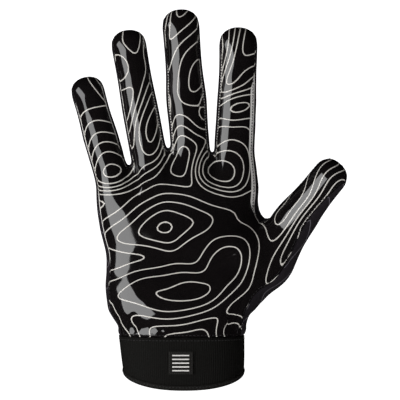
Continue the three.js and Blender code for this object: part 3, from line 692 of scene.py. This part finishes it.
def subdivided(bm, levels):
    """The smooth surface through the bmesh's own points, as a mesh."""
    mesh = bpy.data.meshes.new("net")
    bm.to_mesh(mesh)
    start = coordinates(mesh)
    piece = bpy.data.objects.new("net", mesh)
    bpy.context.scene.collection.objects.link(piece)
    smooth = piece.modifiers.new("Subdivision", "SUBSURF")
    smooth.levels = levels
    smooth.render_levels = levels
    first = evaluated(piece)
    drawn = coordinates(first)[: len(start)]
    place_points(mesh, start + (start - drawn))
    result = evaluated(piece)
    bpy.data.objects.remove(piece)
    return result


def evaluated(piece):
    graph = bpy.context.evaluated_depsgraph_get()
    graph.update()
    return bpy.data.meshes.new_from_object(piece.evaluated_get(graph))


def coordinates(mesh):
    co = np.empty(len(mesh.vertices) * 3)
    mesh.vertices.foreach_get("co", co)
    return co.reshape(-1, 3)


def place_points(mesh, co):
    mesh.vertices.foreach_set("co", co.astype(np.float32).ravel())
    mesh.update()


def normals(mesh):
    out = np.empty(len(mesh.vertices) * 3)
    mesh.vertices.foreach_get("normal", out)
    return out.reshape(-1, 3)


def hill_height(hill, x, z):
    """One hill's height at points in millimetres: 1 on its first ring, and 1 more on each ring after it."""
    turn = math.radians(hill["turn"])
    dx = x - hill["at"][0]
    dz = z - hill["at"][1]
    u = dx * math.cos(turn) + dz * math.sin(turn)
    v = dz * math.cos(turn) - dx * math.sin(turn)
    away = np.hypot(u, v) + 1e-9

    def size_towards(sizes):
        right, left, up, down = sizes
        across = np.abs(u / away) / np.where(u > 0, right, left)
        along = np.abs(v / away) / np.where(v > 0, up, down)
        return (across ** hill["power"] + along ** hill["power"]) ** (-1 / hill["power"])

    core = size_towards(hill["core"])
    inside = 0.5 + 0.5 * away / core
    outside = 1 + (away - core) / size_towards(hill["reach"])
    return np.where(away < core, inside, outside) + hill["start"]


def map_height(hills, x, z):
    """The height of the printed map: the lowest hill at each place, merged smoothly into the next."""
    levels = np.array([hill_height(hill, x, z) for hill in hills] + [np.full_like(x, PLAIN_LEVEL)])
    low = levels.min(axis=0)
    merged = low - np.log(np.exp(-MERGE_SHARPNESS * (levels - low)).sum(axis=0)) / MERGE_SHARPNESS
    ripple = np.sin(2 * np.pi * (x / WAVE["long"] + z / WAVE["cross"]))
    ripple += np.sin(2 * np.pi * (z / WAVE["long"] - x / WAVE["cross"]))
    return merged + WAVE["height"] * ripple


def soft_height(hills, x, z):
    """The map's height averaged over a small disk: its middle and two rings of eight places."""
    total = map_height(hills, x, z)
    rings = (0.5 * SMOOTHING, SMOOTHING)
    places = [(radius, math.pi * k / 4 + radius) for radius in rings for k in range(8)]
    for radius, angle in places:
        total += map_height(hills, x + radius * math.cos(angle), z + radius * math.sin(angle))
    return total / (1 + len(places))


def print_map(mesh, hills, side):
    """Stores the map's height and its slope across the skin on the mesh."""
    co = coordinates(mesh) / MM
    n = normals(mesh)
    turned = np.arctan2(n[:, 0], np.maximum(side * n[:, 1], 0.0) + 1e-6)
    turned = np.clip(turned, -math.pi / 2, math.pi / 2)
    x = co[:, 0] + PRINT_ROLL * (turned - np.sin(turned))
    height = soft_height(hills, x, co[:, 2])
    store(mesh, "contour", height)
    store(mesh, "pale", pale_and_glint_widths(co[:, 0], co[:, 2]))
    store(mesh, "slope", slope_of(mesh, co, height))


def along_row(row, x, z):
    """The share of the way along a row's line, and the distance from it."""
    start = np.array(row["from"], dtype=float)
    run = np.array(row["to"], dtype=float) - start
    length = np.hypot(*run)
    dx, dz = x - start[0], z - start[1]
    share = (dx * run[0] + dz * run[1]) / length**2
    return share, np.abs(dx * run[1] - dz * run[0]) / length


def faded(share, reach):
    """1 along the middle of a row and 0 at both ends, which fade over this share of it."""
    return np.clip(share / reach, 0, 1) * np.clip((1 - share) / reach, 0, 1)


def pale_and_glint_widths(x, z):
    """How wide the pale strip is at the seam next to each point: the film's cut edge on stitched rows, and a
    painted highlight of its edge on the others.
    """
    wide = np.zeros(len(x))
    for row in PALE_EDGES_AND_GLINTS:
        share, off = along_row(row, x, z)
        wide = np.maximum(wide, row["wide"] * faded(share, PALE_FADE) * (off < PALE_REACH))
    return wide


def slope_of(mesh, co, height):
    """The length of the height's gradient on the outer side, averaged at each point."""
    mesh.calc_loop_triangles()
    tris = np.empty(len(mesh.loop_triangles) * 3, dtype=np.int64)
    kinds = np.empty(len(mesh.loop_triangles), dtype=np.int64)
    mesh.loop_triangles.foreach_get("vertices", tris)
    mesh.loop_triangles.foreach_get("material_index", kinds)
    tris = tris.reshape(-1, 3)[kinds == OUTER]
    a, b, c = (co[tris[:, i]] for i in range(3))
    fa, fb, fc = (height[tris[:, i]] for i in range(3))
    cross = np.cross(b - a, c - a)
    doubled = np.linalg.norm(cross, axis=1)
    unit = cross / np.maximum(doubled, 1e-9)[:, None]
    turn = fa[:, None] * (c - b) + fb[:, None] * (a - c) + fc[:, None] * (b - a)
    gradient = np.linalg.norm(np.cross(unit, turn), axis=1) / np.maximum(doubled, 1e-9)
    total = np.zeros(len(co))
    weight = np.zeros(len(co))
    for i in range(3):
        np.add.at(total, tris[:, i], gradient * doubled)
        np.add.at(weight, tris[:, i], doubled)
    return total / np.maximum(weight, 1e-9)


def store(mesh, name, values):
    layer = mesh.attributes.new(name, "FLOAT", "POINT")
    layer.data.foreach_set("value", np.asarray(values, dtype=np.float32))


def distance_to(points, loop):
    """The distance in millimetres from each point to the nearest place of a closed line."""
    line = dense(loop, SEAM_STEP * MM)
    best = np.full(len(points), np.inf)
    for start in range(0, len(line), SEAM_BATCH):
        part = line[start : start + SEAM_BATCH]
        d = np.linalg.norm(points[:, None, :] - part[None, :, :], axis=2).min(axis=1)
        best = np.minimum(best, d)
    return best / MM


def dense(loop, step):
    """A closed line's points with more of them in between, no further apart than a step."""
    out = []
    for (a, _), (b, _) in zip(loop, loop[1:] + loop[:1]):
        count = max(1, math.ceil((b - a).length / step))
        out.extend(a.lerp(b, i / count) for i in range(count))
    return np.array(out)


def gather(co, n):
    """Pushes the skin in and out in small upright folds above the cuff."""
    x, z = co[:, 0] / MM, co[:, 2] / MM
    push = np.zeros(len(co))
    for g in GATHERS:
        near = np.exp(-(((x - g["x"]) / g["wide"]) ** 2) - ((z - g["z"]) / g["high"]) ** 2)
        wave = np.sin(2 * math.pi * (x - g["lean"] * (z - g["z"])) / g["spacing"])
        push += g["depth"] * near * wave
    cuff_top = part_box("cuff_band")[1][2] / MM
    fade = np.clip((z - cuff_top) / GATHER_FADE, 0, 1)
    return co + n * (push * fade * MM)[:, None]


def swell(co, n):
    """Raises the palm's side of the skin along low soft ridges."""
    x, z = co[:, 0] / MM, co[:, 2] / MM
    push = np.zeros(len(co))
    for row in SWELLS:
        share, off = along_row(row, x, z)
        ends = faded(share, SWELL_FADE)
        push += row["high"] * ends * ends * (3 - 2 * ends) * np.exp(-((off / row["wide"]) ** 2))
    return co + n * (push * np.clip(-n[:, 1] / SWELL_TURN, 0, 1) * MM)[:, None]


def slack(co, n):
    """Very slight unevenness of cloth over a hand."""
    p = co / MM / SLACK["long"]
    wave = np.sin(p @ np.array([5.1, 2.3, 3.7])) + np.sin(p @ np.array([-3.3, 4.1, 5.9]) + 1.3)
    wave += np.sin(p @ np.array([2.7, -5.3, 4.3]) + 2.1)
    return co + n * (wave * SLACK["height"] / 3 * MM)[:, None]


def keep_piece(name, mesh, node, slot_name, materials):
    """A mesh as a finished piece that rides on the glove and, if it is a node's skin, stands for it."""
    mesh.name = name
    mesh.materials.clear()
    for made in materials:
        mesh.materials.append(made)
    mesh.shade_smooth()
    piece = bpy.data.objects.new(name, mesh)
    bpy.context.scene.collection.objects.link(piece)
    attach(piece, BODY)
    if node:
        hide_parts(node)
    return piece


def skin(node, name, slot_name, surface, hills=None, side=-1, levels=SKIN_LEVELS, folds=True, rim=None):
    """A frame node's copy as a finished skin, and the loop of its outer border.

    The side is -1 for a print that is seen from the palm and 1 for one on the back.
    """
    bm = merged_copy(node)
    sort_walls(bm)
    loop = rim_loop(bm)
    mesh = subdivided(bm, levels)
    bm.free()
    co, n = coordinates(mesh), normals(mesh)
    if folds:
        co = slack(swell(gather(co, n), n), n)
        place_points(mesh, co)
    store(mesh, "edge", distance_to(co, loop))
    if hills:
        print_map(mesh, hills, side)
    piece = keep_piece(name, mesh, node, slot_name, [surface, material(lining), rim or surface])
    mesh.set_sharp_from_angle(angle=RIM_ANGLE)
    return piece, loop


def surface_tree(mesh, outer_only=False):
    """A search tree of a mesh's faces, or of those on its outer side."""
    faces = [p.vertices[:] for p in mesh.polygons if p.material_index == OUTER or not outer_only]
    return BVHTree.FromPolygons([v.co for v in mesh.vertices], faces)


# Stitches


def stitch_shape(bm, place, along, out, long, thick):
    """One stitch: a small rounded bar, pressed a little into the cloth."""
    side = along.cross(out).normalized()
    turn = Matrix((side, along, out)).transposed().to_4x4()
    turn.translation = place
    bar = bmesh.ops.create_cone(
        bm,
        cap_ends=True,
        segments=STITCH_SIDES,
        radius1=thick / 2,
        radius2=thick / 2,
        depth=long,
        matrix=turn @ Matrix.Rotation(math.radians(90), 4, "X"),
    )
    for vert in bar["verts"]:
        vert.co -= out * (thick * STITCH_DIP)


def walk(loop, spacing):
    """Even steps along a closed line of points and outward directions: place, direction and outward."""
    steps = []
    travelled = 0.0
    due = spacing / 2
    for (a, out_a), (b, out_b) in zip(loop, loop[1:] + loop[:1]):
        length = (b - a).length
        if length < 1e-7:
            continue
        along = (b - a) / length
        while due <= travelled + length:
            share = (due - travelled) / length
            steps.append((a.lerp(b, share), along, out_a.lerp(out_b, share).normalized()))
            due += spacing
        travelled += length
    return steps


def on_row(row, place):
    """Whether a place is beside a pale edge and away from its ends."""
    share, off = along_row(row, place.x / MM, place.z / MM)
    return STITCHED_SHARE < share < 1 - STITCHED_SHARE and off < PALE_REACH


def sew(name, loop, slot_name, thread, size, beside=None):
    """A row of stitches along a closed line on a skin, or along the part of it beside one pale edge."""
    bm = bmesh.new()
    for place, along, out in walk(loop, size["spacing"] * MM):
        if beside is None or on_row(beside, place):
            raised = place + out * (size["lift"] * MM)
            stitch_shape(bm, raised, along, out, size["long"] * MM, size["thick"] * MM)
    mesh = bpy.data.meshes.new(name)
    bm.to_mesh(mesh)
    bm.free()
    keep_piece(name, mesh, None, slot_name, [thread])


def inset_loop(loop, piece, inset):
    """A line beside the seam on the skin, drawn in from the border by a distance."""
    tree = surface_tree(piece.data, outer_only=True)
    moved = []
    count = len(loop)
    for i, (place, out) in enumerate(loop):
        along = (loop[(i + 1) % count][0] - loop[i - 1][0]).normalized()
        inward = out.cross(along).normalized()
        hits = [tree.find_nearest(place + inward * way * inset) for way in (-1, 1)]
        nearest = min(hits, key=lambda hit: hit[3])
        moved.append((nearest[0], nearest[1]))
    return moved


class GLOVE_OT_palm(bpy.types.Operator):
    """Glossy grip palm with its printed lines"""

    bl_idname = "glove.palm"
    bl_label = "Palm"

    def execute(self, context):
        film, rim = material(grip_film), material(gusset_knit)
        _, loop = skin("palm_panel", "palm_skin", "grip_palm", film, PALM_HILLS, side=-1, rim=rim)
        context.scene["palm_rim"] = [c for place, out in loop for c in (*place, *out)]
        return {"FINISHED"}


class GLOVE_OT_back(bpy.types.Operator):
    """Matte knit over the back of the hand and both its sides"""

    bl_idname = "glove.back"
    bl_label = "Back"

    def execute(self, context):
        skin("back_panel", "back_skin", "back_knit", material(back_knit), BACK_HILLS, side=1)
        return {"FINISHED"}


class GLOVE_OT_gussets(bpy.types.Operator):
    """Knit strips between the fingers"""

    bl_idname = "glove.gussets"
    bl_label = "Gussets"

    def execute(self, context):
        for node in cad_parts:
            if node.endswith("_gusset"):
                name = node.replace("gusset", "side_strip")
                skin(node, name, "gusset_knit", material(gusset_knit), folds=False)
        return {"FINISHED"}


def tuck_under(mesh, reach):
    """Lengthens the cuff's lower edge, so that it ends inside the folded binding."""
    co = coordinates(mesh)
    low_at = edge_heights(mesh, 0.0)
    lows = np.array([low_at(angle) for angle in np.arctan2(co[:, 1], co[:, 0])])
    near = np.clip(TUCK_HEIGHT - (co[:, 2] - lows) / MM, 0, 1)
    co[:, 2] -= reach * near
    place_points(mesh, co)


def mark_around(mesh):
    """The distance round the wrist in millimetres, so that ribs run upright."""
    co = coordinates(mesh) / MM
    angle = np.arctan2(co[:, 1], co[:, 0])
    low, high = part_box("cuff_band")
    radius = 0.25 * (high[0] - low[0] + high[1] - low[1]) / MM
    store(mesh, "around", angle * radius)


class GLOVE_OT_cuff(bpy.types.Operator):
    """Elastic cuff, its hem binding and the bare patch"""

    bl_idname = "glove.cuff"
    bl_label = "Cuff"

    def execute(self, context):
        cuff, _ = skin("cuff_band", "cuff_elastic", "cuff_elastic", material(cuff_elastic), folds=False)
        tuck_under(cuff.data, TUCK * MM)
        mark_around(cuff.data)
        hem, _ = skin("hem_binding", "hem_tape", "hem_tape", material(hem_tape), folds=False)
        mark_around(hem.data)
        skin("cuff_label", "cuff_patch", "label_patch", material(label_patch), levels=0, folds=False)
        return {"FINISHED"}


def cast_ring(piece, height_at):
    """Points and outward directions on a cuff piece's outer side, all the way round at a height."""
    tree = surface_tree(piece.data)
    ring = []
    for k in range(RING_STEPS):
        angle = 2 * math.pi * k / RING_STEPS
        out = Vector((math.cos(angle), math.sin(angle), 0))
        start = out * (FAR_OUT * MM) + Vector((0, 0, height_at(angle)))
        place, normal, _, _ = tree.ray_cast(start, -out)
        if place is None:
            raise RuntimeError(f"{piece.name} has no outer side at {math.degrees(angle):.0f} degrees")
        ring.append((place, normal))
    return ring


def edge_heights(mesh, share):
    """A function that gives, for an angle round the wrist, a height between a ring's two edges."""
    co = coordinates(mesh)
    angles = np.arctan2(co[:, 1], co[:, 0])
    borders = np.linspace(-math.pi, math.pi, RING_SECTORS + 1)
    sectors = np.clip(np.digitize(angles, borders) - 1, 0, RING_SECTORS - 1)
    heights = []
    for sector in range(RING_SECTORS):
        z = co[sectors == sector, 2]
        heights.append(z.min() + share * (z.max() - z.min()))
    middles = 0.5 * (borders[1:] + borders[:-1])

    def height_at(angle):
        turned = (angle + math.pi) % (2 * math.pi) - math.pi
        return float(np.interp(turned, middles, heights, period=2 * math.pi))

    return height_at


class GLOVE_OT_seams(bpy.types.Operator):
    """Stitches along the seams, the cuff, the hem and the patch"""

    bl_idname = "glove.seams"
    bl_label = "Seams"

    def execute(self, context):
        s = settings()
        numbers = list(context.scene["palm_rim"])
        vectors = [Vector(numbers[i : i + 3]) for i in range(0, len(numbers), 3)]
        loop = list(zip(vectors[::2], vectors[1::2]))
        palm = bpy.data.objects["palm_skin"]
        thread = material(twisted_thread, "dark_thread", tuple(s.thread_colour))
        seam = {"spacing": s.stitch_gap / MM, "long": s.stitch_length / MM, **SEAM_STITCH}
        sew("palm_seam_stitches", inset_loop(loop, palm, SEAM_INSET * MM), "grip_palm", thread, seam)
        for row in PALE_EDGES_AND_GLINTS:
            if row["stitched"]:
                line = inset_loop(loop, palm, STITCH_BESIDE * row["wide"] * MM)
                sew(row["name"] + "_stitches", line, "grip_palm", thread, STITCHES["edge"], beside=row)

        cuff_thread = material(
            twisted_thread, "cuff_thread", tuple(CUFF_THREAD * c for c in s.thread_colour)
        )
        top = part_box("cuff_band")[1][2] - CUFF_TOP_INSET * MM
        ring = cast_ring(bpy.data.objects["cuff_elastic"], lambda angle: top)
        sew("cuff_top_stitches", ring, "cuff_elastic", cuff_thread, STITCHES["cuff_top"])
        hem = bpy.data.objects["hem_tape"]
        ring = cast_ring(hem, edge_heights(hem.data, HEM_SHARE))
        sew("hem_stitches", ring, "hem_tape", cuff_thread, STITCHES["hem"])
        sew("patch_stitches", self.patch_line(), "label_patch", cuff_thread, STITCHES["patch"])
        return {"FINISHED"}

    def patch_line(self):
        """The line just inside the patch's border, on its face."""
        tree = surface_tree(bpy.data.objects["cuff_patch"].data)
        low, high = (Vector(corner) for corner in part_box("cuff_label"))
        inset = PATCH_INSET * MM
        left, right = low.x + inset, high.x - inset
        bottom, top = low.z + inset, high.z - inset
        corners = [(left, bottom), (right, bottom), (right, top), (left, top)]
        line = []
        for (x0, z0), (x1, z1) in zip(corners, corners[1:] + corners[:1]):
            for k in range(PATCH_STEPS):
                share = k / PATCH_STEPS
                start = Vector((x0 + (x1 - x0) * share, -FAR_OUT * MM, z0 + (z1 - z0) * share))
                place, normal, _, _ = tree.ray_cast(start, Vector((0, 1, 0)))
                if place is None:
                    raise RuntimeError("the patch has no face behind its border line")
                line.append((place, normal))
        return line


class GLOVE_OT_studio(bpy.types.Operator):
    """Pale floor and backdrop, soft light and the camera"""

    bl_idname = "glove.studio"
    bl_label = "Studio"

    def execute(self, context):
        scene = context.scene
        self.add_papers()
        self.add_softbox(scene.glove_studio.softbox_strength)

        world = bpy.data.worlds.new("studio_room")
        world.use_nodes = True
        sky = world.node_tree.nodes["Background"]
        sky.inputs["Color"].default_value = (1, 1, 1, 1)
        sky.inputs["Strength"].default_value = scene.glove_studio.fill_strength
        world.cycles_visibility.glossy = False
        scene.world = world
        scene.view_settings.view_transform = "Standard"

        lens = bpy.data.cameras.new("camera")
        lens.sensor_width = SENSOR_WIDTH
        lens.lens = SENSOR_WIDTH * -CAMERA_PLACE[1] / VIEW_WIDTH
        lens.clip_start = 0.05
        lens.clip_end = 50.0
        camera = bpy.data.objects.new("camera", lens)
        camera.location = Vector(CAMERA_PLACE) * MM
        camera.rotation_euler = (math.radians(90), 0, 0)
        scene.collection.objects.link(camera)
        scene.camera = camera
        return {"FINISHED"}

    def add_papers(self):
        """The floor, and a dome round it that lights nothing and shows only to the camera."""
        bm = bmesh.new()
        bmesh.ops.create_circle(bm, cap_ends=True, segments=64, radius=FLOOR_RADIUS * MM)
        bmesh.ops.translate(bm, verts=bm.verts, vec=(0, 0, FLOOR_LEVEL * MM))
        floor = self.add_stage("floor", bm, material(studio_paper, "floor_paper", FLOOR_GLOW))
        floor.visible_glossy = False

        bm = bmesh.new()
        bmesh.ops.create_icosphere(bm, subdivisions=4, radius=BACKDROP_RADIUS * MM)
        bmesh.ops.reverse_faces(bm, faces=bm.faces)
        dome = self.add_stage("backdrop", bm, material(studio_paper, "backdrop_paper", BACKDROP_GLOW))
        dome.visible_diffuse = False
        dome.visible_glossy = False
        dome.visible_transmission = False
        dome.visible_shadow = False

    def add_stage(self, name, bm, paper):
        mesh = bpy.data.meshes.new(name)
        bm.to_mesh(mesh)
        bm.free()
        mesh.materials.append(paper)
        piece = bpy.data.objects.new(name, mesh)
        bpy.context.scene.collection.objects.link(piece)
        return piece

    def add_softbox(self, radiance):
        """A tall rectangular light, aimed at the glove."""
        wide, tall = SOFTBOX["wide"] * MM, SOFTBOX["tall"] * MM
        light = bpy.data.lights.new("left_softbox", "AREA")
        light.shape = "RECTANGLE"
        light.size = wide
        light.size_y = tall
        light.energy = radiance * math.pi * wide * tall
        turn = math.radians(SOFTBOX["angle"])
        aim = Vector(LIGHT_AIM) * MM
        level = Vector((math.sin(turn), -math.cos(turn), 0)) * (SOFTBOX["distance"] * MM)
        piece = bpy.data.objects.new("left_softbox", light)
        piece.location = aim + level + Vector((0, 0, SOFTBOX["height"] * MM))
        piece.rotation_euler = (aim - piece.location).to_track_quat("-Z", "Z").to_euler()
        bpy.context.scene.collection.objects.link(piece)


OPERATORS = [GLOVE_OT_palm, GLOVE_OT_back, GLOVE_OT_gussets, GLOVE_OT_cuff, GLOVE_OT_seams, GLOVE_OT_studio]


class GLOVE_PT_panel(bpy.types.Panel):
    """Lists the glove's pieces"""

    bl_idname = "GLOVE_PT_panel"
    bl_label = "Glove"
    bl_space_type = "VIEW_3D"
    bl_region_type = "UI"
    bl_category = "Glove"

    def draw(self, context):
        for group in (context.scene.glove_settings, context.scene.glove_studio):
            for key in group.__annotations__:
                self.layout.prop(group, key)
        for operator in OPERATORS:
            self.layout.operator(operator.bl_idname)


CLASSES = [GloveSettings, GloveStudio, *OPERATORS, GLOVE_PT_panel]


def register():
    for cls in CLASSES:
        bpy.utils.register_class(cls)
    bpy.types.Scene.glove_settings = bpy.props.PointerProperty(type=GloveSettings)
    bpy.types.Scene.glove_studio = bpy.props.PointerProperty(type=GloveStudio)


def unregister():
    del bpy.types.Scene.glove_studio
    del bpy.types.Scene.glove_settings
    for cls in reversed(CLASSES):
        bpy.utils.unregister_class(cls)


def main():
    register()
    bpy.ops.glove.palm()
    bpy.ops.glove.back()
    bpy.ops.glove.gussets()
    bpy.ops.glove.cuff()
    bpy.ops.glove.seams()
    bpy.ops.glove.studio()


if __name__ == "__main__":
    main()
